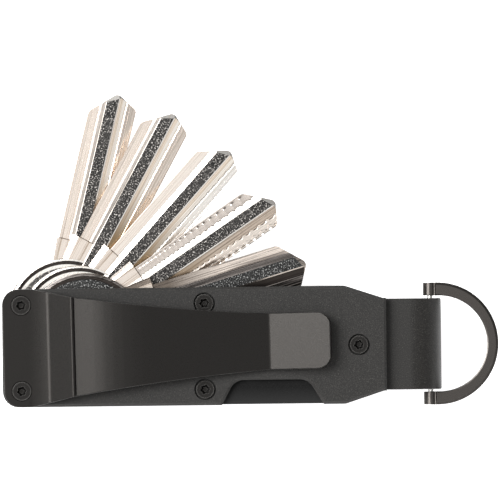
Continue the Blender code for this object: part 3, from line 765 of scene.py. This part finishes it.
# %% Sort the faces into finishes
# Each key's ledge and slope on the long side, slope near the rib, slope and ledge on the short
# side, then its rib and bow. Five finishes more follow: the upright sides, the collar, thin lines
# in painted highlight, ticks whose sides that face the tip are in painted shade, and the bow's
# groove in painted shade.
FACETS = [
    *["fawn ruled tan blushed browned cast"] * 2,
    "cream polished tan blushed polished cast",
    "dusty polished tarnished tarnished cream cast",
    "shaded dim unlit unlit dim cast_dark",
]
# Thin lines take a painted highlight; ticks and the bow's groove take painted shade
SLOPE_FACE, CAST_FACE, SIDE_FACE, COLLAR_FACE, LINE_FACE, TICK_FACE, GROOVE_FACE = 1, *range(5, 11)
FACET_EDGES = (2.75, 0.3, -1.7, -2.5)
RIB_FACE = 0.955
RIB_LINE = (-1.05, -0.83)
BOW_BAND = 10.5
BOW_GROOVE = (11.16, 11.86)
TICK_BANDS = ((2.4, 2.8), (4.1, 4.5))
TICK_TILT = 0.09
TIP_ZONE = 3
TIP_TILT = 0.2
STEP_TILT = 0.5
LEVEL = 0.999
UPRIGHT = 0.3
DARK_KEY = 4


def facet_of(face, index):
    """Which of the key's finishes a face takes."""
    middle = face.calc_center_median()
    from_bow = (middle.xy - Vector((BOW_ALONG, BOW_SHIFTS[index]))).length
    level = abs(face.normal.z) > LEVEL
    if from_bow < BOW_RADIUS and middle.x < COLLAR_END:
        if from_bow < BOW_BAND or (index == DARK_KEY and from_bow < BOW_GROOVE[0]):
            return CAST_FACE
        # The groove takes painted shade; the bands outside it a painted highlight, duller on the fifth key
        if BOW_GROOVE[0] < from_bow < BOW_GROOVE[1]:
            return GROOVE_FACE
        return SLOPE_FACE if index == DARK_KEY else LINE_FACE
    if level and abs(middle.z) > RIB_FACE:
        return CAST_FACE
    if face.normal.x > STEP_TILT and middle.x < COLLAR_END:
        return COLLAR_FACE
    if abs(face.normal.z) < UPRIGHT:
        return SIDE_FACE
    # The tip's bevels take a painted highlight
    if middle.x > TIP_REACH - TIP_ZONE and abs(face.normal.x) > TIP_TILT:
        return LINE_FACE
    if middle.x < COLLAR_END and level:
        return COLLAR_FACE
    place = middle.y - BLADE_SHIFTS[index]
    # A thin strip beside the rib takes a painted highlight
    if RIB_LINE[0] < place < RIB_LINE[1]:
        return LINE_FACE
    # Tick faces that look towards the tip take painted shade
    if face.normal.x > TICK_TILT and any(near < abs(place) < far for near, far in TICK_BANDS):
        return TICK_FACE
    return sum(place < edge for edge in FACET_EDGES)


print("finishes on each key:", GROOVE_FACE + 1)

# %% [markdown]
# Now each key is put together, its faces get their finishes, its plan is written down as a map,
# and only then is it turned to its place in the fan. The joints in the record say where the
# pivot is and how far each key stands open.

# %% Build the five keys


def shade(piece, degrees):
    """Smooths the bends below this angle, and keeps the wide flat faces looking flat."""
    piece.data.shade_smooth()
    piece.data.set_sharp_from_angle(angle=math.radians(degrees))
    step = piece.modifiers.new("weigh", "WEIGHTED_NORMAL")
    step.keep_sharp = True
    freeze(piece)


def settle(piece, body, slot, *solids):
    """Hangs a finished piece on its body in place of the plain solids."""
    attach(piece, body)
    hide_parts(*solids)


def make_key(index, joint):
    """One key in its place, with its finishes, riding on its own body."""
    low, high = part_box(f"key_{index + 1}")
    bm = make_blade(index)
    bmesh.ops.translate(bm, verts=bm.verts, vec=(0, BLADE_SHIFTS[index], 0))
    bow = make_bow(BOW_SHIFTS[index])
    bm.from_mesh(bow.data)
    bpy.data.objects.remove(bow, do_unlink=True)
    bm.normal_update()
    plan = bm.loops.layers.uv.new(KEY_MAP)
    for face in bm.faces:
        face.material_index = facet_of(face, index)
        for loop in face.loops:
            loop[plan].uv = loop.vert.co.xy
    angle = math.radians(-joint["range_deg"][0])
    pivot = Vector((*joint["pos_m"][:2], (low.z + high.z) / 2))
    bm.transform(Matrix.Translation(pivot) @ Matrix.Rotation(angle, 4, "Z") @ Matrix.Scale(MM, 4))
    # The thin lines take a painted highlight, duller on the fifth key
    bright = "shaded" if index == DARK_KEY else "polished"
    row = f"{FACETS[index]} edge collar {bright} sooty unlit".split()
    key = as_object(f"milled_key_{index + 1}", bm, [metal[name] for name in row])
    shade(key, 8)
    settle(key, joint["child"], "key", f"key_{index + 1}")
    return key


ORDER = ["first_key", "second_key", "third_key", "fourth_key", "fifth_key"]
joints = {joint["child"]: joint for joint in frame["joints"]}
for index, which in enumerate(ORDER):
    key = make_key(index, joints[which])
    print(key.name, len(key.data.polygons), "faces")

# %% [markdown]
# ## Pocket clip
# The real clip is a strip of spring steel, blanked out with a tapering outline and then bent. Here
# the bent strip's side view comes first, whose bends are drawn as arcs, as a press makes them.

# %% Draw the clip's side view, in millimetres
# The strip's upper face: place, height and bend radius
CLIP_SIDE = [
    (0, 1.2, 0), (7.2, 1.2, 40), (9.5, 1.4, 2.0), (14.35, 3.86, 0.62), (14.72, 3.73, 0.06),
    (14.92, 3.14, 0.04), (24.2, 4.4, 48), (54.53, 1.6, 2.2), (67.0, 4.145, 0),
]
BEND_STEPS = 9


def rounded_line(corners, steps):
    """Corner points (x, z, radius) become a line whose corners are arcs."""
    line = [Vector(corners[0][:2])]
    for before, (x, z, radius), after in zip(corners, corners[1:], corners[2:]):
        corner = Vector((x, z))
        back = (Vector(before[:2]) - corner).normalized()
        ahead = (Vector(after[:2]) - corner).normalized()
        reach = radius / math.tan(back.angle(ahead) / 2)
        start = corner + back * reach
        end = corner + ahead * reach
        for step in range(steps + 1):
            share = step / steps
            line.append(start.lerp(corner, share).lerp(corner.lerp(end, share), share))
    line.append(Vector(corners[-1][:2]))
    return line


side_view = rounded_line(CLIP_SIDE, BEND_STEPS)
print("points in the side view:", len(side_view))

# %% [markdown]
# Seen from above, the foot has round corners and narrows up the step. The arm tapers in a shallow
# curve to the tab, whose end is round too. A function gives the half width at any place, so
# sections can stand wherever they are needed.

# %% Give the clip its outline
CLIP_START = 0.2
CLIP_END = 67.0
FOOT_HALF = 12.05
FOOT_CORNER = 3.2
NARROWS_FROM = 4.6
NARROWS_SOFTLY = 2.8
NARROWS_SHARE = 0.224
RISER_TOP = 14.7
TAB_START = 54.6
TAB_HALF = 5.75
TAB_CORNER = 2.9
ARM_FLARE = 0.06
ARM_CURVE = 0.00123


def rounded_off(radius, from_end):
    """How much a round corner takes off the half width this far from the end."""
    return radius - math.sqrt(max(0, radius ** 2 - (radius - from_end) ** 2))


def clip_half(x):
    """The clip's half width at x."""
    from_start = x - CLIP_START
    to_end = CLIP_END - x
    if from_start < FOOT_CORNER:
        return FOOT_HALF - rounded_off(FOOT_CORNER, from_start)
    if to_end < TAB_CORNER:
        return TAB_HALF - rounded_off(TAB_CORNER, to_end)
    if x > TAB_START:
        return TAB_HALF
    if x > RISER_TOP:
        short = TAB_START - x
        return TAB_HALF + ARM_FLARE * short + ARM_CURVE * short ** 2
    run = max(0, x - NARROWS_FROM)
    soft = NARROWS_SOFTLY
    return FOOT_HALF - NARROWS_SHARE * (run ** 2 / (2 * soft) if run < soft else run - soft / 2)


print("half width after the step:", round(clip_half(RISER_TOP + 0.1), 2), "mm")

# %% [markdown]
# The clip is skinned through rounded oblong sections that stand square on the side view. They
# stand close together at the bends and at both ends, and far apart where the strip is plain.

# %% Skin the clip
CLIP_STEEL = 1.2
CLIP_EDGE = 0.16
CLIP_EDGE_STEPS = 3
# A section leans by the line's slope over this far to each side
CLIP_LEAN = 0.9
FROM_ENDS = [0, 0.02, 0.05, 0.1, 0.16, 0.3, 0.5, 0.8, 1.2, 1.7, 2.3, 3.0]
FOOT_PLACES = [4.2 + 0.4 * step for step in range(12)]
ARM_PLACES = [RISER_TOP + 2.0 * step for step in range(20)]
LEAST_GAP = 0.015


def clip_places():
    """Where sections stand."""
    places = {CLIP_START + end for end in FROM_ENDS} | {CLIP_END - end for end in FROM_ENDS}
    places |= {point.x for point in side_view[1:-1]} | {*FOOT_PLACES} | {*ARM_PLACES}
    kept = []
    for place in sorted(places):
        if not kept or place - kept[-1] > LEAST_GAP:
            kept.append(place)
    return kept


def on_line(line, x):
    """The point of the line at x; past its ends the line runs straight on."""
    spans = [pair for pair in zip(line, line[1:]) if pair[1].x - pair[0].x > 1e-6]
    start, end = next((span for span in spans if x <= span[1].x), spans[-1])
    return start.lerp(end, (x - start.x) / (end.x - start.x))


def clip_section(x):
    """The ring of points of the strip's rounded oblong section at x."""
    point = on_line(side_view, x)
    run = on_line(side_view, x + CLIP_LEAN) - on_line(side_view, x - CLIP_LEAN)
    up = Vector((-run.y, run.x)).normalized()
    near_end = min(x - CLIP_START, CLIP_END - x)
    shrink = CLIP_EDGE - math.sqrt(CLIP_EDGE ** 2 - max(0, CLIP_EDGE - near_end) ** 2)
    half_wide = clip_half(x) - CLIP_EDGE
    half_thick = CLIP_STEEL / 2 - CLIP_EDGE - shrink
    ring = []
    for sign_y, sign_t, first in ((1, 1, 0), (-1, 1, 90), (-1, -1, 180), (1, -1, 270)):
        for step in range(CLIP_EDGE_STEPS + 1):
            turned = math.radians(first + 90 * step / CLIP_EDGE_STEPS)
            y = sign_y * half_wide + CLIP_EDGE * math.cos(turned)
            t = sign_t * half_thick + CLIP_EDGE * math.sin(turned) - CLIP_STEEL / 2
            ring.append((point.x + up.x * t, y, point.y + up.y * t))
    return ring


bent_strip = skin([clip_section(x) for x in clip_places()])
print("sections:", len(clip_places()))

# %% [markdown]
# The strip is laid on the case's left end and turned by about a degree, because the real clip
# sits slightly askew. A cone seat is cut for each of its screws.

# %% Lay the clip on the case
CLIP_TURN = math.radians(0.95)
SEAT_PROFILE = [(0, 3), (2.12, 3), (2.12, 1.02), (1.3, 0.2), (1.3, -1), (0, -1)]
SEAT_STEPS = 64

corner_screws = [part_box("clip_screw_upper"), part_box("clip_screw_lower")]
screw_places = [(low + high) / 2 for low, high in corner_screws]
screw_x = screw_places[0].x
clip_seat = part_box("pocket_clip")[0].z
foot_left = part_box("front_plate")[0].x
bent_strip.transform(
    Matrix.Translation((screw_x, 0, clip_seat)) @ Matrix.Rotation(CLIP_TURN, 4, "Z")
    @ Matrix.Scale(MM, 4) @ Matrix.Translation(((foot_left - screw_x) / MM, 0, 0))
)
clip = as_object("bent_clip", bent_strip, [clip_satin])
for place in screw_places:
    seat = turn(SEAT_PROFILE, SEAT_STEPS)
    seat.transform(Matrix.Translation((place.x, place.y, clip_seat)) @ Matrix.Scale(MM, 4))
    combine(clip, as_object("seat", seat))
shade(clip, 30)
settle(clip, "case", "clip", "pocket_clip")
print("clip faces:", len(clip.data.polygons))

# %% [markdown]
# ## Screws
# Twelve holes take the same two screws: one has a flat head with a chamfered rim, the other is
# sunk flush into the clip. Both have a six-lobed star socket with a small chamfer that catches
# the light. Each head is turned from a profile, and the socket is a skinned star cut out of it.

# %% Model a screw head
STAR_RADIUS = 1.06
STAR_LOBES = 6
STAR_LOBE_SHARE = 0.11
STAR_STEPS = 72
HEAD_STEPS = 64
# The socket's levels: the share of its radius, and the height
STAR_LEVELS = [(1.16, 0.12), (0.92, -0.1), (0.88, -0.75), (0.5, -1.2)]
RAISED = [
    (0, 0.0), (1.68, 0.0), (1.74, -0.05), (1.82, -0.05), (1.88, -0.14), (1.9, -0.34),
    (1.9, -0.8), (1.00, -0.8), (1.00, -2.2), (0, -2.2),
]
SUNK = [
    (0, 0.0), (1.76, 0.0), (1.82, -0.05), (1.9, -0.05), (1.98, -0.14), (1.98, -0.2),
    (1.00, -0.92), (1.00, -2.2), (0, -2.2),
]


def star_ring(share, height):
    """The ring of points round the star socket at one level."""
    ring = []
    for step in range(STAR_STEPS):
        turned = math.tau * step / STAR_STEPS
        lobe = 1 - STAR_LOBE_SHARE + STAR_LOBE_SHARE * math.cos(STAR_LOBES * turned)
        radius = STAR_RADIUS * share * lobe
        ring.append((radius * math.cos(turned), radius * math.sin(turned), height))
    return ring


def make_head(name, profile):
    """A screw in metres, its face at the origin and its shank below."""
    head = as_object(name, turn(profile, HEAD_STEPS), [screw_black])
    combine(head, as_object("star", skin([star_ring(*level) for level in STAR_LEVELS])))
    head.data.transform(Matrix.Scale(MM, 4))
    shade(head, 12)
    return head


raised_head = make_head("raised_head", RAISED)
sunk_head = make_head("sunk_head", SUNK)
print("head faces:", len(raised_head.data.polygons), len(sunk_head.data.polygons))

# %% [markdown]
# Nobody lines screws up, so each one is turned by an amount of its own. Geometry Nodes suit
# that: a tree sets a copy of the head on every point of a mesh and gives it a random turn, from
# a fixed seed. The back's screws look the other way, so the tree can tilt its copies over.

# %% Make the node tree that sets screws
SPIN_SEED = 7


def make_setter():
    """A node tree that sets a head on every point, with a turn of its own."""
    tree = bpy.data.node_groups.new("set_screws", "GeometryNodeTree")
    for name, kind in (
        ("Geometry", "Geometry"), ("Head", "Object"), ("Tilt", "Float"), ("Finish", "Material"),
    ):
        tree.interface.new_socket(name, in_out="INPUT", socket_type=f"NodeSocket{kind}")
    tree.interface.new_socket("Geometry", in_out="OUTPUT", socket_type="NodeSocketGeometry")
    given = tree.nodes.new("NodeGroupInput").outputs
    turns = {0: (0, 0, 0), 1: (0, 0, math.tau / STAR_LOBES), "Seed": SPIN_SEED}
    spin = node(tree, "FunctionNodeRandomValue", turns, data_type="FLOAT_VECTOR")
    tilt = node(tree, "ShaderNodeCombineXYZ", {"X": given["Tilt"]}).outputs[0]
    head = node(tree, "GeometryNodeObjectInfo", {"Object": given["Head"]}).outputs["Geometry"]
    placed = node(
        tree, "GeometryNodeInstanceOnPoints",
        {"Points": given["Geometry"], "Instance": head, "Rotation": tilt},
    )
    turned = node(
        tree, "GeometryNodeRotateInstances",
        {"Instances": placed.outputs[0], "Rotation": spin.outputs[0]},
    )
    real = node(tree, "GeometryNodeRealizeInstances", {0: turned.outputs[0]})
    dressed = node(
        tree, "GeometryNodeSetMaterial", {"Geometry": real.outputs[0], "Material": given["Finish"]}
    )
    tree.links.new(dressed.outputs[0], tree.nodes.new("NodeGroupOutput").inputs[0])
    return tree


setter = make_setter()
print("nodes that set the screws:", len(setter.nodes))

# %% [markdown]
# The points are the middles of the plain screws' faces, read from the solids. One mesh holds the
# front's screws, one the back's and one the clip's.

# %% Set the screws on their places


def set_screws(name, head, solids, flips=False):
    """One piece with a detailed screw in place of each plain one."""
    places = []
    for low, high in [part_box(solid) for solid in solids]:
        face = low.z if flips else high.z
        places.append(((low.x + high.x) / 2, (low.y + high.y) / 2, face))
    points = bpy.data.meshes.new(name)
    points.from_pydata(places, [], [])
    piece = new_object(name, points)
    step = piece.modifiers.new("set_screws", "NODES")
    step.node_group = setter
    items = [item for item in setter.interface.items_tree if item.in_out == "INPUT"]
    sockets = {item.name: item.identifier for item in items}
    step[sockets["Head"]] = head
    step[sockets["Tilt"]] = math.pi if flips else 0.0
    step[sockets["Finish"]] = screw_black
    freeze(piece)
    settle(piece, "case", "screw", *solids)
    print(name, len(piece.data.polygons), "faces")


for where, head in (("front", raised_head), ("back", raised_head), ("clip", sunk_head)):
    solids = [name for name in frame["nodes"] if name.startswith(f"{where}_screw")]
    set_screws(f"{where}_heads", head, solids, flips=where == "back")
for head in (raised_head, sunk_head):
    bpy.data.objects.remove(head, do_unlink=True)

# %% [markdown]
# ## Block
# The block that closes the case is a bar with a full round nose. Its plain solid shows the flats
# that make up the curve, so it is extruded again from an arc with many more steps, and its long
# edges are rounded. Round cutters make the holes for the pin and the end screws.

# %% Extrude the block
NOSE_STEPS = 72
BLOCK_ROUNDING = 0.25 * MM
PIN_HOLE = 0.75
PAST_BLOCK = 20 * MM
END_HOLE = 1.3 * MM
END_HOLE_DEPTH = 3.3 * MM


def extrude_side(outline, half, rounding, segments=3):
    """Extrudes an outline of (x, z) points both ways along Y and rounds the two rims."""
    bm = bmesh.new()
    start = bm.faces.new([bm.verts.new((x, half, z)) for x, z in outline])
    raised = bmesh.ops.extrude_face_region(bm, geom=[start])["geom"]
    moved = [item for item in raised if isinstance(item, bmesh.types.BMVert)]
    bmesh.ops.translate(bm, verts=moved, vec=(0, -2 * half, 0))
    bmesh.ops.recalc_face_normals(bm, faces=bm.faces)
    rims = [edge for edge in bm.edges if abs(edge.verts[0].co.y - edge.verts[1].co.y) < 1e-7]
    bmesh.ops.bevel(bm, geom=rims, offset=rounding, segments=segments, profile=0.5, affect="EDGES")
    return bm


def bore_along(direction, radius, place, reach):
    """A cutter for a round hole along the Y or Z axis."""
    hole = round_bar(radius, reach)
    if direction == "Y":
        hole.transform(Matrix.Rotation(math.pi / 2, 4, "X"))
    hole.transform(Matrix.Translation(place))
    return as_object("hole", hole)


low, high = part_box("hinge_block")
pin_low, pin_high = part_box("ring_pin")
pin_middle = (pin_low + pin_high) / 2
radius = (high.z - low.z) / 2
nose_x, nose_z = high.x - radius, (low.z + high.z) / 2
outline = [(low.x, high.z), (low.x, low.z)]
for step in range(NOSE_STEPS + 1):
    turned = math.pi * (step / NOSE_STEPS - 0.5)
    outline.append((nose_x + radius * math.cos(turned), nose_z + radius * math.sin(turned)))
bar = extrude_side(outline, (high.y - low.y) / 2, BLOCK_ROUNDING)
block = as_object("nosed_block", bar, [case_black])
combine(block, bore_along("Y", PIN_HOLE * MM, (pin_middle.x, 0, pin_middle.z), PAST_BLOCK))
end_low, end_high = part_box("front_screw_end")
end_place = (end_low + end_high) / 2
for z in (high.z, low.z):
    combine(block, bore_along("Z", END_HOLE, (end_place.x, end_place.y, z), END_HOLE_DEPTH))
shade(block, 35)
settle(block, "case", "block", "hinge_block")
print("block faces:", len(block.data.polygons))

# %% [markdown]
# ## D-ring
# The ring is a flat bar bent into a D. The bar is skinned like the clip, through sections that
# run round two arcs, one outside and one inside, with a broad chamfer outside and a fine one
# inside. The inner arc's middle lies further back, which makes the crown thinner than the legs.

# %% Bend the ring's bar, in millimetres about its pin
ring_low, ring_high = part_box("d_ring")
RING_REACH = 13.9
RING_CROWN = 2.3
RING_HALF_THICK = 1.0
LEG_WIDTH = 2.7
# How far each chamfer runs across the bar and how deep it falls: outside, inside
OUTER_CHAMFER = (0.55, 0.26)
INNER_CHAMFER = (0.26, 0.08)
ARC_STEPS = 72
outer = (ring_high.y - ring_low.y) / 2 / MM
inner = outer - LEG_WIDTH


def bar_ends():
    """Pairs of points in plan, one outside and one inside, along the bent bar."""
    outer_middle = Vector((RING_REACH - outer, 0))
    inner_middle = Vector((RING_REACH - RING_CROWN - inner, 0))
    pairs = [(Vector((0, outer)), Vector((0, inner)))]
    for step in range(ARC_STEPS + 1):
        turned = math.pi * (0.5 - step / ARC_STEPS)
        spoke = Vector((math.cos(turned), math.sin(turned)))
        pairs.append((outer_middle + outer * spoke, inner_middle + inner * spoke))
    return pairs + [(Vector((0, -outer)), Vector((0, -inner)))]


def bar_section(outside, inside):
    """The ring of points round the bar's chamfered section."""
    step = (inside - outside).normalized()
    corners = [
        (outside, RING_HALF_THICK - OUTER_CHAMFER[1]),
        (outside + step * OUTER_CHAMFER[0], RING_HALF_THICK),
        (inside - step * INNER_CHAMFER[0], RING_HALF_THICK),
        (inside, RING_HALF_THICK - INNER_CHAMFER[1]),
    ]
    above = [(*point, height) for point, height in corners]
    return above + [(x, y, -z) for x, y, z in reversed(above)]


ring = as_object("bent_ring", skin([bar_section(*pair) for pair in bar_ends()]), [ring_gunmetal])
print("ring:", round(2 * outer, 1), "mm across")

# %% [markdown]
# Each end of the bar carries a round eye, thicker than the bar, with a hollow worn between the
# two. The eyes are extruded from the side and joined on, and round cutters make the hollows and
# the bore for the pin.

# %% Join the eyes on and bore them
EYE_RADIUS = 1.46
EYE_STEPS = 64
EYE_INSET = 0.04
EYE_ROUNDING = 0.12
HOLLOW_RADIUS = 0.42
HOLLOW_PLACE = 0.8
HOLLOW_HEIGHT = 1.18
PAST_RING = 20

turns = [math.tau * step / EYE_STEPS for step in range(EYE_STEPS)]
eye_side = [(EYE_RADIUS * math.cos(turned), EYE_RADIUS * math.sin(turned)) for turned in turns]
for sign in (1, -1):
    eye = extrude_side(eye_side, (outer - inner) / 2 - EYE_INSET, EYE_ROUNDING, 2)
    eye.transform(Matrix.Translation((0, sign * (outer + inner) / 2, 0)))
    combine(ring, as_object("eye", eye), "UNION")
for height in (HOLLOW_HEIGHT, -HOLLOW_HEIGHT):
    combine(ring, bore_along("Y", HOLLOW_RADIUS, (HOLLOW_PLACE, 0, height), PAST_RING))
combine(ring, bore_along("Y", PIN_HOLE, (0, 0, 0), PAST_RING))
ring.data.transform(Matrix.Translation(pin_middle) @ Matrix.Scale(MM, 4))
shade(ring, 14)
settle(ring, "ring", "ring", "d_ring")
print("ring faces:", len(ring.data.polygons))
